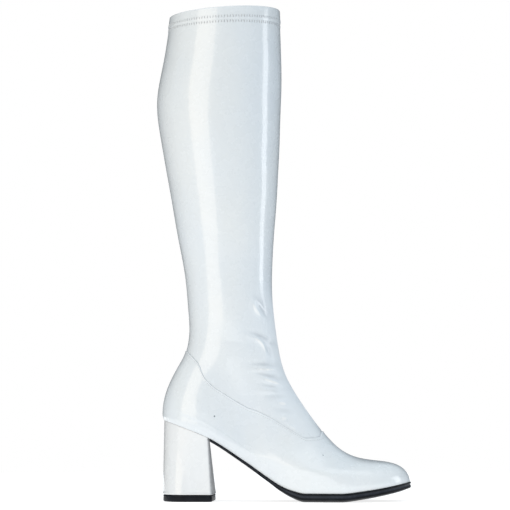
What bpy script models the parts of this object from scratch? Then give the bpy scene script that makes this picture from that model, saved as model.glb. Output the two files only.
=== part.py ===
"""Knee-high go-go boot for the right foot, standing empty on its sole.

Frame: metres, +Z up, the toe points to +X, the outer side of the foot faces -Y. The origin lies on
the floor under the middle of the boot's box. The last is worked out from the tables below, whose x
starts at the back of the heel, and each piece is cut or swept from that one last.
"""
import math
from collections import namedtuple

import bmesh
import bpy
import numpy as np

MM = 0.001

# Driving dimensions, in millimetres.
TOE_X = 235.2            # back of the heel to the tip of the toe
CALF_BACK_X = -5.9       # the calf bulges a little past the back of the heel
WALL = 1.8               # stretch patent with its lining
FOOT_STEP = 0.5          # the foot panel lies over the shaft
HEM_STEP = 0.45          # the hem is folded, so it is thicker
HEM_DEPTH = 12.5
STEP_RUN = 0.6           # width along the wall over which a step falls
FOOT_SETTLE = 4.0        # the foot panel's step starts from nothing at the feather line
MARGIN = 12.0            # lasting margin turned in under the insole
GAP = 0.3                # between pieces that meet
INSOLE_THICK = 2.0
INSOLE_ROOM = 1.3        # between the insole's side and the inside of the wall
INSOLE_BEVEL = 0.5       # the insole's upper edge is eased
WELT = 1.1               # the outsole stands out past the upper
TREAD_BEVEL = 9.0        # width of the slope from the sole's edge to its tread
BREAST_X = 43.6          # column of the last at the heel's front face
BREAST_ROOM = 4.0        # the outsole's last points lie within this of it and are squared to it
BREAST_LINE_X = 44.4     # front face of the heel where it meets the outsole
BREAST_TURN = math.tan(math.radians(-1.0))   # that face is nearly square to the foot there
BREAST_LEAN = 0.12       # it leans forward going down, by this much a millimetre at its most
HEEL_TURN = math.tan(math.radians(3.6))   # and looks a little outwards at its foot
HEEL_FOOT_X = 49.2       # front face of the heel at its foot
HEEL_BACK_X = 0.6
HEEL_SEAT_INSET = 0.5    # the covered heel is a little smaller than the upper above it
HEEL_FOOT_HALF = 24.5    # half the heel's width at its foot
HEEL_ROUND_X = 22.0      # the heel's foot is rounded behind this
HEEL_ROUNDNESS = 2.3     # 2 would be an ellipse
HEEL_CORNER = 3.0
HEEL_HOLLOW = 0.035      # share by which the heel is narrower halfway down
TIP_THICK = 6.4
TIP_INSET = 0.4
TIP_BEVEL = 0.8
TIP_FLARE = 0.2          # the top lift widens a little towards the floor

# Resolution of the faceted solids: half columns run from the toe to the back of the heel.
HALF_COLUMNS = 30
COLUMNS = 2 * HALF_COLUMNS
FOOT_RINGS = 11
SHAFT_RINGS = 18
LINING_RINGS = 24
EVEN_SHARE = 0.4         # of the columns' spacing; the rest of it closes up at toe and heel
HEEL_LEVELS = (0.0, 0.06, 0.3, 0.55, 0.8, 0.97, 1.0)   # of the heel's height, from the top
TURN_STEP = 0.01         # for directions on the last, in radians
RISE_STEP = 0.4

Section = namedtuple("Section", "name front_x front_z back_x back_z toe vamp ball waist seat back")

# One row for each section of the last, from the feather line up to the collar. A section runs from a
# point on the front outline to one on the back outline; the last six columns are the half breadths,
# before its ends are rounded, at the stations that ACROSS gives.
SECTIONS = [
    Section("feather", 235.2, 18.5, 1.3, 77.3, 54.0, 53.5, 45.5, 27.5, 42.0, 57.0),
    Section("toe wall", 233.6, 23.4, 0.7, 80.9, 54.5, 54.5, 46.8, 28.0, 42.5, 57.0),
    Section("toe turn", 229.6, 29.4, 0.5, 83.9, 53.5, 53.5, 47.0, 28.5, 43.0, 56.0),
    Section("toe top", 222.0, 34.3, 0.6, 86.9, 51.0, 51.5, 46.5, 29.0, 43.0, 55.0),
    Section("toe box", 208.0, 37.4, 1.0, 90.4, 46.0, 48.0, 44.5, 29.0, 43.0, 54.0),
    Section("vamp point", 190.0, 39.8, 1.6, 94.4, 43.0, 45.0, 41.0, 28.5, 42.5, 52.0),
    Section("ball", 174.0, 45.4, 2.7, 99.4, 40.0, 42.0, 37.5, 28.0, 42.0, 49.0),
    Section("low instep", 160.0, 56.6, 4.9, 106.4, 36.5, 38.0, 33.0, 27.0, 41.0, 46.0),
    Section("instep", 146.5, 72.9, 9.5, 116.9, 34.0, 34.5, 29.5, 26.5, 38.5, 43.0),
    Section("high instep", 131.8, 93.5, 16.0, 128.9, 32.5, 32.0, 28.5, 27.0, 35.5, 39.0),
    Section("throat", 118.4, 116.7, 21.8, 140.4, 32.0, 31.5, 29.5, 28.5, 33.5, 36.0),
    Section("low ankle", 110.8, 142.9, 25.2, 156.9, 33.0, 32.5, 31.5, 31.0, 33.5, 35.0),
    Section("ankle", 106.0, 173.9, 24.9, 177.9, 34.5, 34.5, 34.0, 34.0, 34.5, 35.5),
    Section("high ankle", 103.8, 205.9, 22.0, 207.9, 36.5, 36.5, 36.5, 36.5, 36.5, 36.5),
    Section("low calf", 105.6, 245.9, 15.2, 247.9, 41.0, 41.0, 41.0, 41.0, 41.0, 41.0),
    Section("lower calf", 109.3, 299.9, 5.7, 299.9, 48.5, 48.5, 48.5, 48.5, 48.5, 48.5),
    Section("calf", 112.0, 350.9, -3.2, 349.9, 54.0, 54.0, 54.0, 54.0, 54.0, 54.0),
    Section("full calf", 113.2, 390.9, -5.6, 386.9, 56.0, 56.0, 56.0, 56.0, 56.0, 56.0),
    Section("upper calf", 112.9, 425.9, 1.0, 423.9, 54.0, 54.0, 54.0, 54.0, 54.0, 54.0),
    Section("collar", 111.3, 468.9, 6.4, 461.9, 50.0, 50.0, 50.0, 50.0, 50.0, 50.0),
]
# Where the half breadths stand between a section's front (0) and its back (1).
ACROSS = (0.0, 0.12, 0.30, 0.55, 0.85, 1.0)

Station = namedtuple("Station", "name x value")

# Height of the feather line, where the upper meets the sole, along the foot.
FEATHER_HEIGHT = [
    Station("heel back", 0.0, 77.4),
    Station("seat", 22.0, 69.2),
    Station("breast", 43.6, 60.4),
    Station("shank", 77.6, 38.9),
    Station("low shank", 100.0, 23.1),
    Station("behind the ball", 112.0, 15.4),
    Station("ball turn", 122.5, 11.0),
    Station("ball back", 135.0, 8.3),
    Station("ball front", 168.0, 8.3),
    Station("toe rise", 190.0, 10.6),
    Station("toe box", 213.0, 14.2),
    Station("toe tip", 236.0, 18.7),
]
# The last's middle line: it swings inwards at the toe and outwards at the waist.
MIDDLE_LINE = [
    Station("heel", 0.0, 0.0),
    Station("seat", 30.0, 0.0),
    Station("shank", 65.0, -1.6),
    Station("waist", 100.0, -2.8),
    Station("behind the ball", 132.0, -1.2),
    Station("ball", 165.0, 1.2),
    Station("toe box", 207.0, 4.0),
    Station("toe", 236.0, 5.0),
]
# How high the outsole's side stands along the foot.
SOLE_EDGE = [
    Station("breast", 43.6, 2.4),
    Station("shank", 77.6, 2.9),
    Station("low shank", 100.0, 3.5),
    Station("behind the ball", 112.0, 4.3),
    Station("ball back", 130.0, 6.2),
    Station("ball front", 172.0, 6.3),
    Station("toe tip", 236.0, 5.6),
]
# How deep its tread lies under the feather line: flat on the floor under the ball.
TREAD_DEPTH = [
    Station("breast", 43.6, 3.0),
    Station("low shank", 100.0, 4.2),
    Station("behind the ball", 112.0, 5.5),
    Station("ball back", 135.0, 8.3),
    Station("ball front", 168.0, 8.3),
    Station("toe rise", 190.0, 8.0),
    Station("toe tip", 236.0, 7.2),
]
SWING_TOP = 11           # the section by whose height the swing has died out
ARCH_LIFT = 0.35         # the arch is felt a little more above the feather line

Edge = namedtuple("Edge", "name outset share")

# The outsole's side from its top down: how far it stands out, and where in the side's height.
SOLE_PROFILE = [
    Edge("on the margin", -MARGIN, 0.0),
    Edge("under the feather line", WELT - 0.4, 0.0),
    Edge("upper bead top", WELT, 0.10),
    Edge("upper bead foot", WELT, 0.26),
    Edge("band top", WELT - 0.45, 0.30),
    Edge("band foot", WELT - 0.45, 0.66),
    Edge("lower bead", WELT - 0.05, 0.72),
    Edge("bevel", WELT - 0.3, 1.0),
]

# Where the seam between the foot panel and the shaft crosses a section, counted in sections.
SEAM_LEVEL = [
    Station("over the instep", 0.0, 7.60),
    Station("tongue corner", 0.05, 7.32),
    Station("tongue foot", 0.13, 7.32),
    Station("tongue side", 0.20, 7.85),
    Station("quarter", 0.28, 8.30),
    Station("long quarter", 0.40, 8.62),
    Station("under the ankle", 0.55, 8.75),
    Station("behind the ankle", 0.70, 8.70),
    Station("counter top", 0.78, 8.85),
    Station("counter rise", 0.86, 9.60),
    Station("counter", 0.93, 9.90),
    Station("back", 1.0, 10.15),
]


def spline_slopes(knots, values):
    """Second derivatives of the natural cubic spline through the given values."""
    count = len(knots)
    system = np.zeros((count, count))
    right = np.zeros((count, values.shape[1]))
    system[0, 0] = system[-1, -1] = 1.0
    for i in range(1, count - 1):
        before, after = knots[i] - knots[i - 1], knots[i + 1] - knots[i]
        system[i, i - 1:i + 2] = before, 2.0 * (before + after), after
        right[i] = 6.0 * ((values[i + 1] - values[i]) / after - (values[i] - values[i - 1]) / before)
    return np.linalg.solve(system, right)


def spline(knots, values):
    """A smooth curve through values at the knots, as a function of one number."""
    knots = np.asarray(knots, float)
    values = np.asarray(values, float).reshape(len(knots), -1)
    bends = spline_slopes(knots, values)

    def at(place):
        i = int(np.clip(np.searchsorted(knots, place) - 1, 0, len(knots) - 2))
        width = knots[i + 1] - knots[i]
        a = (knots[i + 1] - place) / width
        b = 1.0 - a
        return (a * values[i] + b * values[i + 1]
                + ((a ** 3 - a) * bends[i] + (b ** 3 - b) * bends[i + 1]) * width ** 2 / 6.0)

    return at


def level_curve(stations):
    """A curve through the stations that never swings past them."""
    xs = [row.x for row in stations]
    ys = [row.value for row in stations]
    rises = [(ys[i + 1] - ys[i]) / (xs[i + 1] - xs[i]) for i in range(len(xs) - 1)]
    slopes = [rises[0]]
    for before, after in zip(rises, rises[1:]):
        flat = before * after <= 0.0
        slopes.append(0.0 if flat else 2.0 * before * after / (before + after))
    slopes.append(rises[-1])

    def at(x):
        x = min(max(x, xs[0]), xs[-1])
        i = min(int(np.searchsorted(xs, x, side="right")) - 1, len(xs) - 2)
        width = xs[i + 1] - xs[i]
        f = (x - xs[i]) / width
        return (ys[i] * (1 + 2 * f) * (1 - f) ** 2 + slopes[i] * width * f * (1 - f) ** 2
                + ys[i + 1] * f * f * (3 - 2 * f) + slopes[i + 1] * width * f * f * (f - 1))

    return at


def section_knots():
    """How far up the boot each section lies: the mean of the front's and the back's arc."""
    knots = [0.0]
    for low, high in zip(SECTIONS, SECTIONS[1:]):
        front = math.hypot(high.front_x - low.front_x, high.front_z - low.front_z)
        back = math.hypot(high.back_x - low.back_x, high.back_z - low.back_z)
        knots.append(knots[-1] + 0.5 * (front + back))
    return knots


KNOTS = section_knots()
OUTLINES = spline(KNOTS, [[row.front_x, row.front_z, row.back_x, row.back_z] for row in SECTIONS])
BREADTHS = spline(KNOTS, [list(row[5:]) for row in SECTIONS])
feather_height = level_curve(FEATHER_HEIGHT)
MIDDLE = spline([row.x for row in MIDDLE_LINE], [row.value for row in MIDDLE_LINE])
seam_sections = level_curve(SEAM_LEVEL)
sole_edge = level_curve(SOLE_EDGE)
tread_depth = level_curve(TREAD_DEPTH)


def rise_of(sections):
    """The distance up the boot of a place counted in sections, such as 7.5."""
    below = min(int(sections), len(KNOTS) - 2)
    return KNOTS[below] + (sections - below) * (KNOTS[below + 1] - KNOTS[below])


def last_point(turn, rise):
    """A point of the last. Turn is the angle round it: 0 at the front, 90 degrees at the outer side."""
    across = 0.5 * (1.0 - math.cos(turn))
    front_x, front_z, back_x, back_z = OUTLINES(rise)
    x = (1.0 - across) * front_x + across * back_x
    z = (1.0 - across) * front_z + across * back_z
    low = SECTIONS[0]
    low_x = (1.0 - across) * low.front_x + across * low.back_x
    low_z = (1.0 - across) * low.front_z + across * low.back_z
    fade = max(0.0, 1.0 - rise / KNOTS[SWING_TOP])
    z += (feather_height(low_x) - low_z) * fade * (1.0 + ARCH_LIFT * (1.0 - fade))
    breadth = spline(ACROSS, BREADTHS(rise))(across)[0]
    swing = MIDDLE(min(max(x, 0.0), TOE_X))[0] * fade ** 0.5
    return np.array([x, swing - breadth * math.sin(turn), z])


def last_normal(turn, rise):
    """The outward normal of the last there."""
    side = last_point(turn + TURN_STEP, rise) - last_point(turn - TURN_STEP, rise)
    above = min(rise + RISE_STEP, KNOTS[-1])
    below = max(rise - RISE_STEP, 0.0)
    up = last_point(turn, above) - last_point(turn, below)
    normal = np.cross(up, side)
    return normal / np.linalg.norm(normal)


def feather_point(turn, inset=0.0, lift=0.0):
    """A point in the plane of the sole, moved in from the feather line, at the sole's height there."""
    here = last_point(turn, 0.0)
    ahead = last_point(turn + 2.0 * TURN_STEP, 0.0) - last_point(turn - 2.0 * TURN_STEP, 0.0)
    inward = np.array([ahead[1], -ahead[0]])
    inward /= np.hypot(*inward)
    x, y = here[:2] + inward * inset
    return np.array([x, y, feather_height(x) + lift])


def half_turns():
    """Angles from the toe to the back of the heel, with one of them at the heel's front face."""
    low = SECTIONS[0]
    breast = math.acos(1.0 - 2.0 * (low.front_x - BREAST_X) / (low.front_x - low.back_x))
    turns = []
    for i in range(HALF_COLUMNS + 1):
        share = i / HALF_COLUMNS
        closing = 0.5 * (1.0 - math.cos(math.pi * share))
        across = (1.0 - EVEN_SHARE) * closing + EVEN_SHARE * share
        turns.append(math.acos(1.0 - 2.0 * across))
    nearest = min(range(len(turns)), key=lambda i: abs(turns[i] - breast))
    turns[nearest] = breast
    return turns, nearest


TURNS, BREAST = half_turns()


def to_world(point):
    """From the last's millimetres, whose x starts at the heel, to the part's metres."""
    shift = 0.5 * (TOE_X + WELT + CALF_BACK_X)
    return (MM * (point[0] - shift), MM * point[1], MM * point[2])


def make_object(name, points, faces, color, roughness):
    """A named mesh object with its own material."""
    mesh = bpy.data.meshes.new(name)
    mesh.from_pydata([to_world(point) for point in points], [], faces)
    work = bmesh.new()
    work.from_mesh(mesh)
    bmesh.ops.recalc_face_normals(work, faces=work.faces)
    work.to_mesh(mesh)
    work.free()
    mesh.shade_smooth()
    mesh.set_sharp_from_angle(angle=math.radians(35.0))
    piece = bpy.data.objects.new(name, mesh)
    bpy.context.collection.objects.link(piece)
    material = bpy.data.materials.new(name)
    material.use_nodes = True
    shader = material.node_tree.nodes["Principled BSDF"]
    shader.inputs["Base Color"].default_value = (*color, 1.0)
    shader.inputs["Roughness"].default_value = roughness
    shader.inputs["Metallic"].default_value = 0.0
    mesh.materials.append(material)
    return piece


def bridge(first, second, count):
    """Quads between two closed rings of points, given by their first index."""
    return [(first + i, first + (i + 1) % count, second + (i + 1) % count, second + i)
            for i in range(count)]


def wall_rises(turn):
    """Pairs of rise and thickness added outside, up the wall's outer face along one column."""
    across = 0.5 * (1.0 - math.cos(turn))
    seam = rise_of(seam_sections(across))
    hem = KNOTS[-1] - HEM_DEPTH
    rises = []
    for i in range(FOOT_RINGS + 1):
        rises.append(((i / FOOT_RINGS) * (seam - STEP_RUN), FOOT_STEP))
    for i in range(SHAFT_RINGS + 1):
        rises.append((seam + (i / SHAFT_RINGS) * (hem - STEP_RUN - seam), 0.0))
    rises.append((hem, HEM_STEP))
    rises.append((KNOTS[-1], HEM_STEP))
    return rises


def build_upper():
    """The hollow upper: shaft and foot in one wall, with its steps and its turned-in margin."""
    turns = TURNS + [2.0 * math.pi - turn for turn in reversed(TURNS[1:-1])]
    columns = []
    for turn in turns:
        column = []
        for rise, proud in wall_rises(turn):
            settled = proud * min(1.0, rise / FOOT_SETTLE)
            column.append(last_point(turn, rise) + last_normal(turn, rise) * settled)
        for i in range(LINING_RINGS + 1):
            rise = KNOTS[-1] * (1.0 - i / LINING_RINGS) + (i / LINING_RINGS) * 2.0 * WALL
            column.append(last_point(turn, rise) - last_normal(turn, rise) * WALL)
        column.append(feather_point(turn, WALL, WALL))
        column.append(feather_point(turn, MARGIN, WALL))
        column.append(feather_point(turn, MARGIN))
        columns.append(column)
    rings = len(columns[0])
    points = [columns[i][j] for j in range(rings) for i in range(COLUMNS)]
    faces = []
    for j in range(rings):
        faces += bridge(j * COLUMNS, ((j + 1) % rings) * COLUMNS, COLUMNS)
    return make_object("upper", points, faces, (0.86, 0.88, 0.89), 0.12)


def plate(turns, rings):
    """A plate along the foot from rings of points, top to bottom, round at the toe.

    Its other end is round where the turns reach the back of the heel, and square elsewhere.
    """
    whole = turns[-1] > math.pi - 0.001
    inner = turns[1:-1] if whole else turns[1:]
    outline = list(turns) + [2.0 * math.pi - turn for turn in reversed(inner)]
    count = len(outline)
    points, faces = [], []
    for ring in rings:
        points += [ring(turn) for turn in outline]
    for j in range(len(rings) - 1):
        faces += bridge(j * count, (j + 1) * count, count)
    for base in (0, (len(rings) - 1) * count):
        for i in range(len(turns) - 1):
            corners = [base + i, base + i + 1, base + (count - i - 1) % count, base + (count - i) % count]
            faces.append(tuple(dict.fromkeys(corners)))
    return points, faces


def build_insole():
    """The sock board, lying on the lasting margin inside the upper."""
    inset = WALL + INSOLE_ROOM
    bottom = WALL + GAP
    top = bottom + INSOLE_THICK
    rings = [lambda turn: feather_point(turn, inset + INSOLE_BEVEL, top),
             lambda turn: feather_point(turn, inset, top - INSOLE_BEVEL),
             lambda turn: feather_point(turn, inset, bottom),
             lambda turn: feather_point(turn, MARGIN, bottom)]
    points, faces = plate(TURNS, rings)
    return make_object("insole", points, faces, (0.62, 0.60, 0.56), 0.7)


def breast_line(y):
    """Where the heel's front face stands at its top; it is turned a little."""
    return BREAST_LINE_X + BREAST_TURN * y


def build_outsole():
    """The outsole: a stepped edge, a bevel below it, the arch, the toe spring and a flat tread."""
    def edge(outset, share):
        def at(turn):
            point = outline_point(turn, -outset, share * sole_edge(BREAST_X))
            point[2] = feather_height(point[0]) - GAP - share * sole_edge(point[0])
            return point
        return at

    def tread(turn):
        point = outline_point(turn, TREAD_BEVEL, tread_depth(BREAST_X))
        point[2] = feather_height(point[0]) - tread_depth(point[0])
        return point

    def outline_point(turn, inset, depth):
        point = feather_point(turn, inset)
        if point[0] < BREAST_X + BREAST_ROOM:
            point[0] = breast_line(point[1]) + GAP + BREAST_LEAN * depth
        return point

    rings = [edge(row.outset, row.share) for row in SOLE_PROFILE] + [tread]
    points, faces = plate(TURNS[:BREAST + 1], rings)
    return make_object("outsole", points, faces, (0.02, 0.022, 0.026), 0.3)


def heel_seat_outline():
    """The heel's outline under the upper: from the outer front corner round the back."""
    turns = TURNS[BREAST:]
    both = turns + [2.0 * math.pi - turn for turn in reversed(turns[:-1])]
    outline = [tuple(feather_point(turn, HEEL_SEAT_INSET)[:2]) for turn in both]
    for end in (0, -1):
        outline[end] = (breast_line(outline[end][1]), outline[end][1])
    return outline


def heel_foot_outline(inset=0.0):
    """The heel's outline at its foot, with as many points as its seat outline."""
    steps = len(TURNS) - 1 - BREAST
    side = []
    round_depth = HEEL_ROUND_X - HEEL_BACK_X - inset
    for i in range(steps + 1):
        share = i / steps
        depth = math.sin(0.5 * math.pi * share)
        x = HEEL_FOOT_X - inset - depth * (HEEL_FOOT_X - HEEL_BACK_X - 2.0 * inset)
        swell = max(0.0, (HEEL_ROUND_X - x) / round_depth)
        side.append((x, (HEEL_FOOT_HALF - inset) * math.sqrt(max(0.0, 1.0 - swell ** HEEL_ROUNDNESS))))
    outer = [(x, -y) for x, y in side]
    inner = list(reversed(side[:-1]))
    return [(x + HEEL_TURN * y * max(0.0, (x - HEEL_ROUND_X) / (HEEL_FOOT_X - HEEL_ROUND_X)), y)
            for x, y in outer + inner]


def round_corners(outline, radius):
    """Both front corners of a heel outline, rounded."""
    first, last = np.array(outline[0]), np.array(outline[-1])
    across = (last - first) / np.linalg.norm(last - first)

    def corner(point, following, along):
        point, following = np.array(point), np.array(following)
        back = (following - point) / np.linalg.norm(following - point)
        start, end = point + along * radius, point + back * radius
        middle = point + (1.0 - math.sqrt(0.5)) * radius * (along + back)
        return [tuple(start), tuple(middle), tuple(end)]

    head = corner(outline[0], outline[1], across)
    tail = list(reversed(corner(outline[-1], outline[-2], -across)))
    return head + outline[1:-1] + tail


def ring_solid(rings):
    """A solid from closed rings of equal count, from top to bottom, with capped ends."""
    count = len(rings[0])
    points = [point for ring in rings for point in ring]
    faces = []
    for j in range(len(rings) - 1):
        faces += bridge(j * count, (j + 1) * count, count)
    for base in (0, (len(rings) - 1) * count):
        for i in range(count // 2 - 1):
            faces.append((base + i, base + i + 1, base + count - 2 - i, base + count - 1 - i))
        if count % 2:
            middle = count // 2
            faces.append((base + middle - 1, base + middle, base + middle + 1))
    return points, faces


def build_heel():
    """The covered block heel, cut on top to the slope of the upper's seat."""
    seat = round_corners(heel_seat_outline(), HEEL_CORNER)
    foot = round_corners(heel_foot_outline(), HEEL_CORNER)
    foot_z = TIP_THICK + GAP
    rings = []
    for share in HEEL_LEVELS:
        ring = []
        for (sx, sy), (fx, fy) in zip(seat, foot):
            seat_z = feather_height(sx) - GAP
            hollow = 1.0 - HEEL_HOLLOW * math.sin(math.pi * share)
            ring.append(np.array([(1 - share) * sx + share * fx,
                                  ((1 - share) * sy + share * fy) * hollow,
                                  (1 - share) * seat_z + share * foot_z]))
        rings.append(ring)
    points, faces = ring_solid(rings)
    return make_object("heel", points, faces, (0.86, 0.88, 0.89), 0.15)


def build_heel_tip():
    """The black top lift that the heel stands on."""
    rings = []
    foot_inset = TIP_INSET + TIP_BEVEL - TIP_FLARE
    for inset, z in ((TIP_INSET, TIP_THICK), (TIP_INSET - TIP_FLARE, TIP_BEVEL), (foot_inset, 0.0)):
        outline = round_corners(heel_foot_outline(inset), HEEL_CORNER)
        rings.append([np.array([x, y, z]) for x, y in outline])
    points, faces = ring_solid(rings)
    return make_object("heel_tip", points, faces, (0.02, 0.022, 0.026), 0.35)


def main():
    """Clear the scene and build each piece of the boot."""
    for old in list(bpy.data.objects):
        bpy.data.objects.remove(old)
    build_upper()
    build_insole()
    build_outsole()
    build_heel()
    build_heel_tip()


main()
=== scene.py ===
"""Looks of a white knee-high patent go-go boot for the right foot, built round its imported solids.

The boot's own sizes are in millimetres with x from the back of the heel, as on the last; to_world
turns them into the frame's metres. The outer side of the foot faces -Y and the camera.
"""

import logging
import math
from dataclasses import astuple, dataclass
from enum import Enum
from functools import partial
from typing import Any, Callable, Dict, List, Optional, Sequence, Tuple, Union

import bmesh
import bpy
import numpy as np
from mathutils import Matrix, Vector


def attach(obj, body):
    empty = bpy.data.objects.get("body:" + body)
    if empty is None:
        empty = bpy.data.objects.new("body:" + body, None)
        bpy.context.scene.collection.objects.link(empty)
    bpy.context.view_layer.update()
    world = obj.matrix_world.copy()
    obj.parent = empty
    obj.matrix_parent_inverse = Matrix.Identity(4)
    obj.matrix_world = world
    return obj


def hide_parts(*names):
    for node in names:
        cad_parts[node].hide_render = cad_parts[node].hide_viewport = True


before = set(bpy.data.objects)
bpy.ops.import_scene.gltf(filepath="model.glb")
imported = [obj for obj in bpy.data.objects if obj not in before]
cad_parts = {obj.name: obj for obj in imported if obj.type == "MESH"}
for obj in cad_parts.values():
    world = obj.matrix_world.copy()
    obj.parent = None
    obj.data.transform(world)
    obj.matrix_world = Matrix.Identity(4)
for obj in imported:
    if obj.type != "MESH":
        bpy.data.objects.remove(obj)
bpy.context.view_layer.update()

LOG = logging.getLogger("boot")
MM = 0.001
BODY = "root"

EDGE_DEGREES = 32.0      # edges of the black pieces that turn more than this stay sharp
TURN_STEP = 0.01         # for directions on the last, in radians and millimetres
RISE_STEP = 0.4

Colour = Tuple[float, float, float]
Spot = Tuple[float, float, float]
Corners = Tuple[int, ...]
Grid = np.ndarray
Piece = bpy.types.Object
Finish = bpy.types.Material
Socket = bpy.types.NodeSocket
Inputs = Dict[Union[str, int], Any]


@dataclass(frozen=True)
class Section:
    """One section of the last, from a point on the front outline to one on the back outline.

    The last six fields are half breadths, before the ends are rounded, at the shares ACROSS.
    """

    name: str
    front_x: float
    front_z: float
    back_x: float
    back_z: float
    toe: float
    vamp: float
    ball: float
    waist: float
    seat: float
    back: float

    def numbers(self) -> Tuple[float, ...]:
        """The four places of its ends and the six half breadths."""
        return astuple(self)[1:]


@dataclass(frozen=True)
class Station:
    """A named place along a line and the value there."""

    name: str
    x: float
    value: float


SECTIONS: Tuple[Section, ...] = (
    Section("feather", 235.2, 18.5, 1.3, 77.3, 54.0, 53.5, 45.5, 27.5, 42.0, 57.0),
    Section("toe wall", 233.6, 23.4, 0.7, 80.9, 54.5, 54.5, 46.8, 28.0, 42.5, 57.0),
    Section("toe turn", 229.6, 29.4, 0.5, 83.9, 53.5, 53.5, 47.0, 28.5, 43.0, 56.0),
    Section("toe top", 222.0, 34.3, 0.6, 86.9, 51.0, 51.5, 46.5, 29.0, 43.0, 55.0),
    Section("toe box", 208.0, 37.4, 1.0, 90.4, 46.0, 48.0, 44.5, 29.0, 43.0, 54.0),
    Section("vamp point", 190.0, 39.8, 1.6, 94.4, 43.0, 45.0, 41.0, 28.5, 42.5, 52.0),
    Section("ball", 174.0, 45.4, 2.7, 99.4, 40.0, 42.0, 37.5, 28.0, 42.0, 49.0),
    Section("low instep", 160.0, 56.6, 4.9, 106.4, 36.5, 38.0, 33.0, 27.0, 41.0, 46.0),
    Section("instep", 146.5, 72.9, 9.5, 116.9, 34.0, 34.5, 29.5, 26.5, 38.5, 43.0),
    Section("high instep", 131.8, 93.5, 16.0, 128.9, 32.5, 32.0, 28.5, 27.0, 35.5, 39.0),
    Section("throat", 118.4, 116.7, 21.8, 140.4, 32.0, 31.5, 29.5, 28.5, 33.5, 36.0),
    Section("low ankle", 110.8, 142.9, 25.2, 156.9, 33.0, 32.5, 31.5, 31.0, 33.5, 35.0),
    Section("ankle", 106.0, 173.9, 24.9, 177.9, 34.5, 34.5, 34.0, 34.0, 34.5, 35.5),
    Section("high ankle", 103.8, 205.9, 22.0, 207.9, 36.5, 36.5, 36.5, 36.5, 36.5, 36.5),
    Section("low calf", 105.6, 245.9, 15.2, 247.9, 41.0, 41.0, 41.0, 41.0, 41.0, 41.0),
    Section("lower calf", 109.3, 299.9, 5.7, 299.9, 48.5, 48.5, 48.5, 48.5, 48.5, 48.5),
    Section("calf", 112.0, 350.9, -3.2, 349.9, 54.0, 54.0, 54.0, 54.0, 54.0, 54.0),
    Section("full calf", 113.2, 390.9, -5.6, 386.9, 56.0, 56.0, 56.0, 56.0, 56.0, 56.0),
    Section("upper calf", 112.9, 425.9, 1.0, 423.9, 54.0, 54.0, 54.0, 54.0, 54.0, 54.0),
    Section("collar", 111.3, 468.9, 6.4, 461.9, 50.0, 50.0, 50.0, 50.0, 50.0, 50.0),
)
ACROSS: Tuple[float, ...] = (0.0, 0.12, 0.30, 0.55, 0.85, 1.0)

FEATHER_HEIGHT: Tuple[Station, ...] = (
    Station("heel back", 0.0, 77.4),
    Station("seat", 22.0, 69.2),
    Station("breast", 43.6, 60.4),
    Station("shank", 77.6, 38.9),
    Station("low shank", 100.0, 23.1),
    Station("behind the ball", 112.0, 15.4),
    Station("ball turn", 122.5, 11.0),
    Station("ball back", 135.0, 8.3),
    Station("ball front", 168.0, 8.3),
    Station("toe rise", 190.0, 10.6),
    Station("toe box", 213.0, 14.2),
    Station("toe tip", 236.0, 18.7),
)
MIDDLE_LINE: Tuple[Station, ...] = (
    Station("heel", 0.0, 0.0),
    Station("seat", 30.0, 0.0),
    Station("shank", 65.0, -1.6),
    Station("waist", 100.0, -2.8),
    Station("behind the ball", 132.0, -1.2),
    Station("ball", 165.0, 1.2),
    Station("toe box", 207.0, 4.0),
    Station("toe", 236.0, 5.0),
)
SEAM_LEVEL: Tuple[Station, ...] = (
    Station("over the instep", 0.0, 7.60),
    Station("tongue corner", 0.05, 7.32),
    Station("tongue foot", 0.13, 7.32),
    Station("tongue side", 0.20, 7.85),
    Station("quarter", 0.28, 8.30),
    Station("long quarter", 0.40, 8.62),
    Station("under the ankle", 0.55, 8.75),
    Station("behind the ankle", 0.70, 8.70),
    Station("counter top", 0.78, 8.85),
    Station("counter rise", 0.86, 9.60),
    Station("counter", 0.93, 9.90),
    Station("back", 1.0, 10.15),
)
SOLE_EDGE: Tuple[Station, ...] = (
    Station("breast", 43.6, 2.4),
    Station("shank", 77.6, 2.9),
    Station("low shank", 100.0, 3.5),
    Station("behind the ball", 112.0, 4.3),
    Station("ball back", 130.0, 6.2),
    Station("ball front", 172.0, 6.3),
    Station("toe tip", 236.0, 5.6),
)
TREAD_DEPTH: Tuple[Station, ...] = (
    Station("breast", 43.6, 3.0),
    Station("low shank", 100.0, 4.2),
    Station("behind the ball", 112.0, 5.5),
    Station("ball back", 135.0, 8.3),
    Station("ball front", 168.0, 8.3),
    Station("toe rise", 190.0, 8.0),
    Station("toe tip", 236.0, 7.2),
)


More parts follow.
